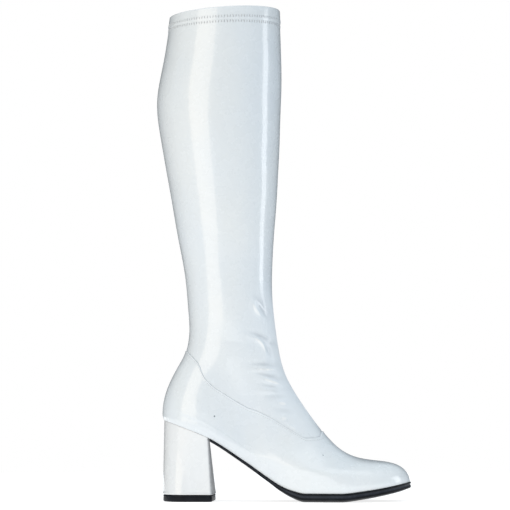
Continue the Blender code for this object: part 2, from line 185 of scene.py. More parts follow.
class Spline:
    """A natural cubic spline through rows of values."""

    def __init__(self, knots: Sequence[float], values: Sequence) -> None:
        """Solve for the bends.

        Args:
            knots: Where the values stand, rising.
            values: A row of numbers for each knot.
        """
        self.knots = np.asarray(knots, float)
        self.values = np.asarray(values, float).reshape(len(knots), -1)
        count = len(self.knots)
        system = np.zeros((count, count))
        right = np.zeros((count, self.values.shape[1]))
        system[0, 0] = system[-1, -1] = 1.0
        for i in range(1, count - 1):
            before, after = self.knots[i] - self.knots[i - 1], self.knots[i + 1] - self.knots[i]
            system[i, i - 1:i + 2] = before, 2.0 * (before + after), after
            right[i] = 6.0 * ((self.values[i + 1] - self.values[i]) / after
                              - (self.values[i] - self.values[i - 1]) / before)
        self.bends = np.linalg.solve(system, right)

    def __call__(self, places: Grid) -> Grid:
        """The rows at some places.

        Args:
            places: An array of any shape.

        Returns:
            An array of that shape with the row as its last axis.
        """
        places = np.asarray(places, float)
        i = np.clip(np.searchsorted(self.knots, places) - 1, 0, len(self.knots) - 2)
        width = (self.knots[i + 1] - self.knots[i])[..., None]
        a = (self.knots[i + 1] - places)[..., None] / width
        b = 1.0 - a
        return (a * self.values[i] + b * self.values[i + 1]
                + ((a ** 3 - a) * self.bends[i] + (b ** 3 - b) * self.bends[i + 1]) * width ** 2 / 6.0)


class LevelCurve:
    """A curve through stations that never swings past them."""

    def __init__(self, stations: Sequence[Station]) -> None:
        """Work out the slopes at the stations."""
        self.xs = np.array([row.x for row in stations])
        self.ys = np.array([row.value for row in stations])
        rises = np.diff(self.ys) / np.diff(self.xs)
        slopes = [rises[0]]
        for before, after in zip(rises, rises[1:]):
            slopes.append(0.0 if before * after <= 0.0 else 2.0 * before * after / (before + after))
        self.slopes = np.array(slopes + [rises[-1]])

    def __call__(self, x: Grid) -> Grid:
        """The values at x."""
        x = np.clip(x, self.xs[0], self.xs[-1])
        i = np.minimum(np.searchsorted(self.xs, x, side="right") - 1, len(self.xs) - 2)
        width = self.xs[i + 1] - self.xs[i]
        f = (x - self.xs[i]) / width
        return (self.ys[i] * (1 + 2 * f) * (1 - f) ** 2 + self.slopes[i] * width * f * (1 - f) ** 2
                + self.ys[i + 1] * f * f * (3 - 2 * f)
                + self.slopes[i + 1] * width * f * f * (f - 1))


def smooth_step(low: float, high: float, value: Grid) -> Grid:
    """0 below low, 1 above high, and smooth between them."""
    share = np.clip((value - low) / (high - low), 0.0, 1.0)
    return share * share * (3.0 - 2.0 * share)


@dataclass
class Last:
    """The last that every piece of the boot is cut from."""

    toe_x: float = 235.2
    welt: float = 1.1
    calf_back_x: float = -5.9
    swing_top: int = 11
    margin: float = 12.0
    tuck: float = 0.35
    shank_ease: float = 0.07
    eased_to: Tuple[float, float] = (40.0, 70.0)

    def __post_init__(self) -> None:
        """Prepare the curves."""
        knots = [0.0]
        for low, high in zip(SECTIONS, SECTIONS[1:]):
            front = math.hypot(high.front_x - low.front_x, high.front_z - low.front_z)
            back = math.hypot(high.back_x - low.back_x, high.back_z - low.back_z)
            knots.append(knots[-1] + 0.5 * (front + back))
        self.knots = np.array(knots)
        self.outlines = Spline(knots, [row.numbers()[:4] for row in SECTIONS])
        self.breadths = Spline(knots, [row.numbers()[4:] for row in SECTIONS])
        self.across_weights = Spline(ACROSS, np.eye(len(ACROSS)))
        self.feather_height = LevelCurve(FEATHER_HEIGHT)
        self.middle = Spline([row.x for row in MIDDLE_LINE], [row.value for row in MIDDLE_LINE])
        self.seam_sections = LevelCurve(SEAM_LEVEL)
        self.sole_edge = LevelCurve(SOLE_EDGE)
        self.tread_depth = LevelCurve(TREAD_DEPTH)

    @property
    def top(self) -> float:
        """How far up the boot the collar lies."""
        return float(self.knots[-1])

    def rise_of(self, sections: Grid) -> Grid:
        """Distance up the boot of places counted in sections."""
        return np.interp(sections, np.arange(len(self.knots)), self.knots)

    def seam(self, turn: Grid) -> Grid:
        """Distance up the boot of the seam between foot panel and shaft."""
        return self.rise_of(self.seam_sections(0.5 * (1.0 - np.cos(turn))))

    def points(self, turn: Grid, rise: Grid) -> Grid:
        """Points of the last.

        Args:
            turn: Angles round it, 0 at the front and a quarter turn at the outer side.
            rise: Distances up the boot, in millimetres.

        Returns:
            The points, in millimetres.
        """
        turn, rise = np.broadcast_arrays(turn, rise)
        across = 0.5 * (1.0 - np.cos(turn))
        ends = self.outlines(rise)
        x = (1.0 - across) * ends[..., 0] + across * ends[..., 2]
        z = (1.0 - across) * ends[..., 1] + across * ends[..., 3]
        low = SECTIONS[0]
        low_x = (1.0 - across) * low.front_x + across * low.back_x
        low_z = (1.0 - across) * low.front_z + across * low.back_z
        fade = np.maximum(0.0, 1.0 - rise / self.knots[self.swing_top])
        most, end = self.eased_to
        settled = smooth_step(0.0, most, rise) * (1.0 - smooth_step(most, end, rise))
        share = fade * (1.0 + self.tuck * (1.0 - fade)) - self.shank_ease * settled
        z = z + (self.feather_height(low_x) - low_z) * share
        breadth = np.sum(self.across_weights(across) * self.breadths(rise), axis=-1)
        swing = self.middle(np.clip(x, 0.0, self.toe_x))[..., 0] * np.sqrt(fade)
        return np.stack([x, swing - breadth * np.sin(turn), z], axis=-1)

    def normals(self, turn: Grid, rise: Grid) -> Grid:
        """Outward normals there."""
        side = self.points(turn + TURN_STEP, rise) - self.points(turn - TURN_STEP, rise)
        above = self.points(turn, np.minimum(rise + RISE_STEP, self.top))
        below = self.points(turn, np.maximum(rise - RISE_STEP, 0.0))
        normal = np.cross(above - below, side)
        return normal / np.linalg.norm(normal, axis=-1, keepdims=True)

    def feather(self, turn: Grid, inset: float = 0.0, lift: float = 0.0) -> Grid:
        """Points moved in from the feather line and lifted off it.

        Args:
            turn: Angles round the last.
            inset: How far in, in millimetres.
            lift: How far up.

        Returns:
            The points, in millimetres.
        """
        turn = np.asarray(turn, float)
        start = np.zeros_like(turn)
        here = self.points(turn, start)
        ahead = (self.points(turn + 2.0 * TURN_STEP, start)
                 - self.points(turn - 2.0 * TURN_STEP, start))
        inward = np.stack([ahead[..., 1], -ahead[..., 0]], axis=-1)
        inward /= np.linalg.norm(inward, axis=-1, keepdims=True)
        flat = here[..., :2] + inward * inset
        return np.concatenate([flat, (self.feather_height(flat[..., 0]) + lift)[..., None]], axis=-1)

    def turn_at(self, x: float) -> float:
        """The angle on the outer side at which the feather line passes x."""
        low = SECTIONS[0]
        return math.acos(1.0 - 2.0 * (low.front_x - x) / (low.front_x - low.back_x))

    def outer_spot(self, x: float, z: float) -> Spot:
        """The world place on the outer side that the side view shows at x and z."""
        turn, rise = np.meshgrid(np.linspace(0.05, math.pi, 400), np.linspace(0.0, self.top, 900))
        points = self.points(turn, rise)
        nearest = np.argmin((points[..., 0] - x) ** 2 + (points[..., 2] - z) ** 2)
        return tuple(self.to_world(points.reshape(-1, 3)[nearest]))

    def to_world(self, points: Grid) -> Grid:
        """From the last's millimetres to the frame's metres."""
        shift = np.array([0.5 * (self.toe_x + self.welt + self.calf_back_x), 0.0, 0.0])
        return (np.asarray(points) - shift) * MM


# Meshes

def bridge(first: int, second: int, count: int) -> List[Corners]:
    """Quads between two closed rings of points, given by their first index."""
    return [(first + i, first + (i + 1) % count, second + (i + 1) % count, second + i)
            for i in range(count)]


def walls(rings: int, count: int) -> List[Corners]:
    """Quads down a stack of closed rings of equal count."""
    return [face for j in range(rings - 1) for face in bridge(j * count, (j + 1) * count, count)]


def new_piece(name: str, points: Grid, faces: List[Corners],
              materials: Sequence[Finish], face_slots: Optional[Sequence[int]] = None,
              sharp_degrees: float = 40.0) -> Piece:
    """A mesh object at the origin with its faces pointing outwards.

    Args:
        name: The piece's name.
        points: Its points, in metres.
        faces: Its faces.
        materials: Its materials, in slot order.
        face_slots: The slot of each face, or None for the first.
        sharp_degrees: Edges that turn more than this stay sharp.

    Returns:
        The object.
    """
    mesh = bpy.data.meshes.new(name)
    mesh.from_pydata(np.asarray(points).tolist(), [], faces)
    for material in materials:
        mesh.materials.append(material)
    if face_slots is not None:
        mesh.polygons.foreach_set("material_index", np.asarray(face_slots, dtype=np.int32))
    work = bmesh.new()
    work.from_mesh(mesh)
    bmesh.ops.recalc_face_normals(work, faces=work.faces)
    work.to_mesh(mesh)
    work.free()
    mesh.shade_smooth()
    mesh.set_sharp_from_angle(angle=math.radians(sharp_degrees))
    piece = bpy.data.objects.new(name, mesh)
    bpy.context.collection.objects.link(piece)
    return piece


def set_attribute(piece: Piece, name: str, values: Grid) -> None:
    """Write one number a point as a named attribute."""
    attribute = piece.data.attributes.new(name, "FLOAT", "POINT")
    attribute.data.foreach_set("value", np.asarray(values, dtype=np.float32).ravel())


def register(piece: Piece, slot: str, *nodes: str) -> Piece:
    """Let a piece ride on the boot and stand for its solids.

    Args:
        piece: The piece.
        slot: The record's material slot; not used.
        nodes: The solids that it replaces.

    Returns:
        The piece.
    """
    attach(piece, BODY)
    if nodes:
        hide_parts(*nodes)
    LOG.info("%s: %d faces", piece.name, len(piece.data.polygons))
    return piece


# Finishes

class TreeSketch:
    """A node tree and short ways to add to it."""

    def __init__(self, tree: bpy.types.NodeTree) -> None:
        """Keep the tree."""
        self.tree = tree

    def fill(self, node: bpy.types.Node, inputs: Inputs) -> bpy.types.Node:
        """Join or set a node's inputs.

        Args:
            node: The node.
            inputs: For an input's name or number, the socket to join to it or its plain value.

        Returns:
            The node.
        """
        for key, value in inputs.items():
            if isinstance(value, Socket):
                self.tree.links.new(value, node.inputs[key])
            else:
                node.inputs[key].default_value = value
        return node

    def add(self, kind: str, inputs: Optional[Inputs] = None, **settings: Any) -> bpy.types.Node:
        """Add a node.

        Args:
            kind: The node's type.
            inputs: What fill joins or sets.
            settings: The node's own properties.

        Returns:
            The node.
        """
        node = self.tree.nodes.new(kind)
        for name, value in settings.items():
            setattr(node, name, value)
        return self.fill(node, inputs or {})

    def calc(self, operation: str, first: Socket, second: Union[Socket, float]) -> Socket:
        """One step of arithmetic."""
        return self.add("ShaderNodeMath", {0: first, 1: second}, operation=operation).outputs[0]

    def spread(self, source: Socket, low: Union[Socket, float], high: Union[Socket, float],
               start: float = 0.0, end: float = 1.0, change: str = "LINEAR") -> Socket:
        """A number taken from start..end to low..high."""
        inputs = {"Value": source, "From Min": start, "From Max": end, "To Min": low, "To Max": high}
        return self.add("ShaderNodeMapRange", inputs, interpolation_type=change).outputs["Result"]


@dataclass(frozen=True)
class Pattern:
    """A noise pattern and how it is stretched along X, Y and Z."""

    scale: float
    detail: float = 2.0
    roughness: float = 0.5
    stretch: Optional[Spot] = None


class NodeSketch(TreeSketch):
    """A material's nodes, over the object's own coordinates."""

    def __init__(self, name: str) -> None:
        """Start a material with a Principled BSDF."""
        self.material = bpy.data.materials.new(name)
        self.material.use_nodes = True
        super().__init__(self.material.node_tree)
        self.place = self.add("ShaderNodeTexCoord").outputs["Object"]

    def noise(self, pattern: Pattern) -> Socket:
        """A noise pattern, as a number."""
        place = self.place
        if pattern.stretch:
            stretched = self.add("ShaderNodeMapping", {"Vector": place, "Scale": pattern.stretch})
            place = stretched.outputs["Vector"]
        inputs = {"Vector": place, "Scale": pattern.scale, "Detail": pattern.detail,
                  "Roughness": pattern.roughness}
        return self.add("ShaderNodeTexNoise", inputs).outputs["Fac"]

    def wave(self, scale: float, direction: str, distortion: float) -> Socket:
        """Even bands, as a number."""
        inputs = {"Vector": self.place, "Scale": scale, "Distortion": distortion}
        return self.add("ShaderNodeTexWave", inputs, bands_direction=direction).outputs["Fac"]

    def attribute(self, name: str) -> Socket:
        """The piece's own attribute, as a number."""
        return self.add("ShaderNodeAttribute", attribute_name=name).outputs["Fac"]

    def blend(self, share: Socket, first: Union[Socket, Colour], second: Union[Socket, Colour]) -> Socket:
        """A colour between two others."""
        start, end = [value if isinstance(value, Socket) else (*value, 1.0) for value in (first, second)]
        return self.add("ShaderNodeMix", {"Factor": share, 6: start, 7: end}, data_type="RGBA").outputs[2]

    def bump(self, height: Socket, distance: float, strength: float,
             below: Optional[Socket] = None) -> Socket:
        """A bumped normal, laid over another where one is given."""
        inputs: Inputs = {"Height": height, "Distance": distance, "Strength": strength}
        if below is not None:
            inputs["Normal"] = below
        return self.add("ShaderNodeBump", inputs).outputs["Normal"]

    def near(self, spot: Spot, radius: float) -> Socket:
        """1 within a radius of a spot on the piece and 0 outside it, soft over its outer part."""
        apart = self.add("ShaderNodeVectorMath", {0: self.place, 1: spot}, operation="DISTANCE")
        return self.spread(apart.outputs["Value"], 1.0, 0.0, 0.6 * radius, radius)

    def dressed(self, inputs: Inputs) -> Finish:
        """The material, with its shader's inputs joined or set."""
        self.fill(self.tree.nodes["Principled BSDF"], inputs)
        return self.material


@dataclass(frozen=True)
class Patent:
    """White stretch patent: a soft white film under a clear gloss coat.

    It reads four attributes: the grime and shade one and worn dull its gloss, and the grime and shade one
    also darkens it as painted shade at seams and edges and on the heel's front face, broken into dirt-like
    patches;
    fold paints a highlight on ridges and painted shade in troughs; and flex wrinkles it finely. Bump
    depths are in metres.
    """

    name: str = "white_patent_finish"
    cool: Colour = (0.715, 0.77, 0.82)
    warm: Colour = (0.745, 0.785, 0.81)
    # Colour of the random mottling and of the painted shade at seams, edges and the heel's front face.
    grime_and_shade: Colour = (0.30, 0.31, 0.32)
    speck: Colour = (0.10, 0.13, 0.17)
    # A painted highlight on crease ridges and painted shade in crease troughs.
    painted_crest_highlight: Colour = (0.90, 0.92, 0.93)
    painted_trough_shade: Colour = (0.52, 0.57, 0.62)
    roughness: Tuple[float, float] = (0.22, 0.32)
    coat: float = 0.8
    coat_roughness: float = 0.05
    shade_and_grime_dulls: float = 0.6
    dull_roughness: float = 0.4
    mottling: float = 0.025
    tones: Pattern = Pattern(16.0, 3.0, 0.55, (1.0, 1.0, 0.45))
    mottle: Pattern = Pattern(150.0, 3.0)
    shade_and_dirt: Pattern = Pattern(300.0, 3.0)
    gloss: Pattern = Pattern(70.0, 3.0, 0.6)
    drape: Pattern = Pattern(30.0, 1.5, 0.4, (1.0, 1.0, 0.5))
    wrinkles: Pattern = Pattern(240.0, 3.0, 0.6, (1.0, 1.0, 1.7))
    peel: Pattern = Pattern(900.0)
    drape_depth: float = 0.0008
    wrinkle_depth: float = 0.00035
    peel_depth: float = 0.00003
    ripple: float = 1.0
    specks: Tuple[Tuple[Spot, float], ...] = ()

    def colour(self, sketch: NodeSketch) -> Socket:
        """The film's colour, with its mottling, painted highlights and shade on folds, painted shade
        broken into dirt-like patches, and specks.
        """
        tone = sketch.spread(sketch.noise(self.tones), 0.0, 1.0, 0.35, 0.65)
        colour = sketch.blend(tone, self.cool, self.warm)
        mottle = sketch.spread(sketch.noise(self.mottle), 0.0, self.mottling, 0.35, 0.75)
        colour = sketch.blend(mottle, colour, self.grime_and_shade)
        # Painted highlight on crease ridges and painted shade in crease troughs, from the fold heights.
        fold = sketch.attribute("fold")
        colour = sketch.blend(sketch.spread(fold, 0.0, 1.0, 0.45, 0.95), colour, self.painted_crest_highlight)
        colour = sketch.blend(sketch.spread(fold, 0.0, 0.6, -0.1, -1.0), colour, self.painted_trough_shade)
        # Painted shade at seams, edges and the heel's front face, from the grime and shade attribute,
        # broken into dirt-like patches.
        patches = sketch.spread(sketch.noise(self.shade_and_dirt), 0.55, 1.0, 0.3, 0.7)
        shade_and_dirt = sketch.calc("MULTIPLY", sketch.attribute("grime_and_shade"), patches)
        colour = sketch.blend(shade_and_dirt, colour, self.grime_and_shade)
        for spot, radius in self.specks:
            colour = sketch.blend(sketch.near(spot, radius), colour, self.speck)
        return colour

    def material(self) -> Finish:
        """The patent's node material."""
        sketch = NodeSketch(self.name)
        shaded_and_grimy = sketch.spread(sketch.attribute("grime_and_shade"), 0.0, 1.0, 0.0, self.shade_and_grime_dulls)
        dull = sketch.calc("MAXIMUM", shaded_and_grimy, sketch.attribute("worn"))
        rough = sketch.spread(sketch.noise(self.gloss), *self.roughness, 0.3, 0.7)
        strength = 0.5 * self.ripple
        drape = sketch.bump(sketch.noise(self.drape), self.drape_depth, strength)
        flex = sketch.spread(sketch.attribute("flex"), 0.05, 1.0)
        wrinkle = sketch.calc("MULTIPLY", sketch.noise(self.wrinkles), flex)
        wrinkled = sketch.bump(wrinkle, self.wrinkle_depth, strength, drape)
        return sketch.dressed({
            "Base Color": self.colour(sketch),
            "Roughness": sketch.calc("ADD", rough, sketch.calc("MULTIPLY", dull, self.dull_roughness)),
            "Coat Weight": sketch.spread(dull, self.coat, 0.0),
            "Coat Roughness": self.coat_roughness,
            "Coat Normal": wrinkled,
            "Normal": sketch.bump(sketch.noise(self.peel), self.peel_depth, 0.4, wrinkled),
        })


@dataclass(frozen=True)
class Lining:
    """Pale knitted lining bonded to the inside of the patent."""

    name: str = "knit_lining_finish"
    pale: Colour = (0.66, 0.66, 0.65)
    dark: Colour = (0.50, 0.50, 0.50)
    rib_scale: float = 260.0
    waver: float = 1.5
    wear: Pattern = Pattern(60.0, 3.0)
    fuzz: Pattern = Pattern(120.0)
    knit_depth: float = 0.0002

    def material(self) -> Finish:
        """The lining's node material."""
        sketch = NodeSketch(self.name)
        ribs, rows = [sketch.wave(self.rib_scale, axis, self.waver) for axis in "ZX"]
        knit = sketch.calc("MULTIPLY", ribs, rows)
        tone = sketch.calc("MULTIPLY", knit, sketch.spread(sketch.noise(self.wear), 0.6, 1.0, 0.3, 0.7))
        return sketch.dressed({
            "Base Color": sketch.blend(tone, self.dark, self.pale),
            "Roughness": sketch.spread(sketch.noise(self.fuzz), 0.8, 0.95),
            "Sheen Weight": 0.25,
            "Sheen Roughness": 0.6,
            "Normal": sketch.bump(knit, self.knit_depth, 0.6),
        })


@dataclass(frozen=True)
class Rubber:
    """Black moulded sole or top lift."""

    name: str
    dark: Colour = (0.004, 0.005, 0.007)
    pale: Colour = (0.012, 0.014, 0.019)
    roughness: Tuple[float, float] = (0.40, 0.55)
    specular: float = 0.12
    tones: Pattern = Pattern(90.0, 4.0, 0.6)
    scuffs: Pattern = Pattern(340.0, 4.0, 0.7, (1.0, 1.0, 0.3))
    grain: Pattern = Pattern(1400.0)
    scuff_depth: float = 0.0001
    grain_depth: float = 0.00005

    def material(self) -> Finish:
        """The rubber's node material."""
        sketch = NodeSketch(self.name)
        tone = sketch.spread(sketch.noise(self.tones), 0.0, 1.0, 0.35, 0.7)
        scuffs = sketch.noise(self.scuffs)
        fine = sketch.bump(sketch.noise(self.grain), self.grain_depth, 0.5)
        return sketch.dressed({
            "Base Color": sketch.blend(tone, self.dark, self.pale),
            "Roughness": sketch.spread(scuffs, *self.roughness, 0.35, 0.7),
            "Specular IOR Level": self.specular,
            "Normal": sketch.bump(scuffs, self.scuff_depth, 0.35, fine),
        })


@dataclass(frozen=True)
class Thread:
    """White sewing thread, tinted grey as painted shade of the stitches, with painted shade along its
    twist.
    """

    name: str = "white_thread_painted_shade_finish"
    # Grey rather than white, as painted shade; the shade colour darkens the twist as painted shade.
    pale: Colour = (0.60, 0.62, 0.64)
    shade: Colour = (0.34, 0.36, 0.38)
    twist_scale: float = 900.0
    twist_depth: float = 0.00008

    def material(self) -> Finish:
        """The thread's node material."""
        sketch = NodeSketch(self.name)
        twist = sketch.wave(self.twist_scale, "DIAGONAL", 0.5)
        return sketch.dressed({
            "Base Color": sketch.blend(twist, self.shade, self.pale),
            "Roughness": sketch.spread(twist, 0.45, 0.6),
            "Normal": sketch.bump(twist, self.twist_depth, 0.5),
        })


# Creases

SILHOUETTE_FADE = (1.0, 15.0)   # creases start this far out from the middle of the boot
END_POWER = 2.6                 # how squarely a crease ends
SIDE_POWER = 1.5                # how round its section is


class Face(Enum):
    """Which side of the boot a crease lies on."""

    OUTER = -1.0
    INNER = 1.0


@dataclass(frozen=True)
class Crease:
    """A soft ridge, or a trough where its height is below nothing, laid on the shoe.

    Place and sizes are millimetres in the side view; lean is its direction in degrees over level,
    and bow bends it.
    """

    name: str
    x: float
    z: float
    lean: float
    length: float
    width: float
    height: float
    bow: float = 0.0
    face: Face = Face.OUTER
    crown: float = 0.5

    def relief(self, points: Grid) -> Grid:
        """How far the crease lifts each point."""
        lean = math.radians(self.lean)
        dx = points[..., 0] - self.x
        dz = points[..., 2] - self.z
        along = dx * math.cos(lean) + dz * math.sin(lean)
        aside = dz * math.cos(lean) - dx * math.sin(lean) - self.bow * along * along
        facing = smooth_step(*SILHOUETTE_FADE, self.face.value * points[..., 1])
        reach = np.exp(-np.abs(along / self.length) ** END_POWER)
        fold = np.exp(-(np.hypot(aside, self.crown) / self.width) ** SIDE_POWER)
        return self.height * fold * reach * facing


CREASES: Tuple[Crease, ...] = (
    Crease("upper ankle ridge", 88.8, 180.0, -60.0, 9.0, 2.2, 1.2, 0.020),
    Crease("upper ankle hollow", 95.0, 184.0, -60.0, 11.0, 3.6, -1.2, -0.010),
    Crease("bend hollow", 96.0, 154.5, -27.0, 12.0, 2.6, -1.3, -0.004),
    Crease("bend ridge", 93.9, 148.9, -52.0, 10.5, 2.0, 1.4, -0.028),
    Crease("bend lower hollow", 101.5, 143.0, -62.0, 8.0, 2.8, -0.9, -0.015),
    Crease("instep ridge", 97.0, 124.5, 0.0, 11.0, 2.2, 1.3),
    Crease("instep hollow", 97.0, 129.0, -3.0, 13.0, 2.6, -1.0),
    Crease("instep second hollow", 101.0, 118.8, -14.0, 13.0, 2.4, -1.1),
    Crease("instep second ridge", 103.8, 112.8, -21.5, 10.5, 2.2, 1.4),
    Crease("instep third hollow", 106.0, 108.5, -10.0, 12.0, 2.4, -0.8),
    Crease("instep third ridge", 105.0, 104.6, 0.0, 12.5, 2.4, 0.8),
    Crease("instep fourth hollow", 107.0, 99.0, 2.0, 11.0, 3.0, -0.6),
    Crease("instep dimple ridge", 113.4, 92.2, -6.0, 5.0, 2.8, 1.05),
    Crease("instep dimple hollow", 115.0, 85.6, -10.0, 9.0, 3.2, -0.6),
    Crease("tongue ridge", 115.3, 78.4, 10.0, 3.4, 2.6, 1.0),
    Crease("tongue end ridge", 122.7, 68.8, -30.0, 6.0, 2.4, 1.0),
    Crease("inner bend hollow", 94.0, 160.0, -30.0, 16.0, 3.4, -1.2, -0.004, Face.INNER),
    Crease("inner bend ridge", 91.0, 151.0, -42.0, 15.0, 2.8, 1.3, 0.010, Face.INNER),
    Crease("inner instep ridge", 98.0, 127.0, -6.0, 13.0, 2.4, 1.2, 0.0, Face.INNER),
    Crease("inner instep hollow", 101.0, 119.5, -10.0, 14.0, 2.6, -1.0, 0.0, Face.INNER),
    Crease("inner low ridge", 107.0, 104.0, -12.0, 12.0, 2.6, 1.0, 0.0, Face.INNER),
    Crease("inner upper ridge", 84.0, 186.0, -48.0, 12.0, 3.4, 1.0, 0.0, Face.INNER),
)


# The foot panel's raised edge: rise past the seam, share of the panel's step, and extra height.
PANEL_EDGE = ((-1.9, 1.0, 0.08), (-1.3, 1.0, 0.16), (-0.9, 1.0, 0.15), (-0.55, 0.9, 0.08),
              (-0.32, 0.62, 0.0), (-0.2, 0.2, -0.1), (-0.08, 0.0, -0.26), (0.2, 0.0, -0.24),
              (0.6, 0.0, -0.1), (1.3, 0.0, 0.0))
# The hem's lower edge: rise past its line, and height.
HEM_EDGE = ((-1.2, 0.0), (-0.6, 0.0), (-0.2, 0.04), (0.2, 0.2), (0.6, 0.36), (1.1, 0.45))
RIM_DEGREES = range(20, 181, 20)


@dataclass
class Upper:
    """The hollow upper: shaft and foot panel in one wall, with seam, hem, rim, lining and margin."""

    last: Last
    wall: float = 1.8
    foot_step: float = 0.5
    hem_step: float = 0.45
    hem_depth: float = 12.5
    slack: float = 0.55
    columns: int = 270
    foot_rows: int = 62
    shaft_rows: int = 206
    hem_rows: int = 20
    lining_rows: int = 36

    @property
    def rim_radius(self) -> float:
        """Half the thickness of the folded rim."""
        return 0.5 * (self.wall + self.hem_step)

    @property
    def hem(self) -> float:
        """Distance up the boot of the hem's lower edge."""
        return self.last.top - self.hem_depth

    def outer_rows(self, turns: Grid) -> Tuple[Grid, Grid]:
        """Distances up the boot and heights over the last, for each outer row and column."""
        seam = self.last.seam(turns)
        level = np.ones_like(turns)
        rows = []
        for i in range(self.foot_rows):
            rise = (seam + PANEL_EDGE[0][0]) * (i / self.foot_rows)
            rows.append((rise, self.foot_step * smooth_step(-0.5, 4.0, rise)))
        for offset, share, extra in PANEL_EDGE:
            rows.append((seam + offset, (self.foot_step * share + extra) * level))
        start, end = seam + PANEL_EDGE[-1][0], self.hem + HEM_EDGE[0][0]
        for i in range(1, self.shaft_rows):
            rows.append((start + (end - start) * (i / self.shaft_rows) ** 1.3, 0.0 * level))
        for offset, height in HEM_EDGE:
            rows.append(((self.hem + offset) * level, height * level))
        radius = self.rim_radius
        low, high = self.hem + HEM_EDGE[-1][0], self.last.top - radius
        for i in range(1, self.hem_rows + 1):
            rows.append(((low + (high - low) * i / self.hem_rows) * level, self.hem_step * level))
        for degrees in RIM_DEGREES:
            angle = math.radians(degrees)
            rows.append(((high + radius * math.sin(angle)) * level,
                         (self.hem_step - radius + radius * math.cos(angle)) * level))
        rises, heights = zip(*rows)
        return np.array(rises), np.array(heights)

    @staticmethod
    def folds(points: Grid) -> Grid:
        """Every listed crease together."""
        return sum(crease.relief(points) for crease in CREASES)

    def relief(self, turn: Grid, rise: Grid, points: Grid) -> Grid:
        """The creases and the slack of the fabric, as heights over the outer face.

        Args:
            turn: Angles round the last.
            rise: Distances up the boot.
            points: The last's points there.

        Returns:
            The heights, in millimetres.
        """
        past_seam = rise - self.last.seam(turn)
        on_shaft = smooth_step(-1.0, 6.0, past_seam)
        below_hem = smooth_step(0.0, 30.0, self.hem - rise)
        x, y, z = points[..., 0], points[..., 1], points[..., 2]
        waves = (0.34 * np.sin(z / 31.0 + 1.3 * np.sin(2.0 * turn + z / 90.0))
                 + 0.26 * np.sin(z / 17.0 - x / 23.0 + 2.0 * np.sin(turn + 0.6))
                 + 0.16 * np.sin(z / 9.5 + y / 14.0 + x / 31.0))
        loose = self.slack * waves * below_hem * smooth_step(0.0, 60.0, past_seam)
        return (self.folds(points) + loose) * on_shaft

    def inside_rows(self, turns: Grid) -> Grid:
        """Points of the lining, from the rim down, and of the turned-in margin."""
        down = np.linspace(self.last.top - self.rim_radius, 2.0 * self.wall, self.lining_rows + 1)[1:]
        rises = np.repeat(down[:, None], self.columns, axis=1)
        grid = np.broadcast_to(turns, rises.shape)
        lining = self.last.points(grid, rises) - self.last.normals(grid, rises) * self.wall
        margin = [self.last.feather(turns, self.wall, self.wall),
                  self.last.feather(turns, self.last.margin, self.wall),
                  self.last.feather(turns, self.last.margin)]
        return np.concatenate([lining, np.array(margin)])

    def paint(self, piece: Piece, grid: Grid, rises: Grid, base: Grid) -> None:
        """Write what the patent reads: flex, grime and shade, fold and worn.

        Args:
            piece: The upper.
            grid: Angles of the outer rows.
            rises: Distances up the boot of the outer rows.
            base: The last's points there.
        """
        past_seam = rises - self.last.seam(grid)
        x, z = base[..., 0], base[..., 2]
        creased = np.clip(self.folds(base), -1.0, 1.0) * smooth_step(-1.0, 6.0, past_seam)
        from_front = self.last.outlines(rises)[..., 0] - x
        strip = smooth_step(24.0, 13.0, from_front) * (1.0 - np.abs(creased))
        instep = smooth_step(62.0, 84.0, z) * smooth_step(214.0, 172.0, z)
        outside = {
            "flex": np.exp(-((z - 140.0) / 45.0) ** 2) * smooth_step(60.0, 100.0, x),
            # Painted shade: darker at the panel seam's groove, along the upper's foot against the sole and
            # at the hem's edge.
            "grime_and_shade": (0.42 * np.exp(-((past_seam - 0.05) / 0.32) ** 2)
                      + 0.12 * np.exp(-(rises / 0.8) ** 2)
                      + 0.06 * np.exp(-((self.hem - rises) / 0.4) ** 2)),
            # Crease heights, which the patent turns into painted highlights and painted shade.
            "fold": creased,
            "worn": 0.9 * strip * instep * smooth_step(0.0, 6.0, past_seam),
        }
        for name, values in outside.items():
            everywhere = np.zeros(len(piece.data.vertices))
            everywhere[:values.size] = values.ravel()
            set_attribute(piece, name, everywhere)

    def build(self, patent: Finish, lining: Finish) -> Piece:
        """The upper as one closed wall.

        Args:
            patent: Finish of the outside and the rim.
            lining: Finish of the inside.

        Returns:
            The registered piece.
        """
        turns = np.arange(self.columns) * (2.0 * math.pi / self.columns)
        rises, heights = self.outer_rows(turns)
        grid = np.broadcast_to(turns, rises.shape)
        base = self.last.points(grid, rises)
        lift = heights + self.relief(grid, rises, base)
        outer = base + self.last.normals(grid, rises) * lift[..., None]
        rows = np.concatenate([outer, self.inside_rows(turns)])
        count = len(rows)
        faces: List[Corners] = []
        slots: List[int] = []
        for j in range(count):
            faces += bridge(j * self.columns, ((j + 1) % count) * self.columns, self.columns)
            slots += [0 if j < len(outer) - 1 else 1] * self.columns
        piece = new_piece("upper_wall", self.last.to_world(rows.reshape(-1, 3)), faces,
                          (patent, lining), slots)
        self.paint(piece, grid, rises, base)
        return register(piece, "white_patent", "upper")


# Stitches

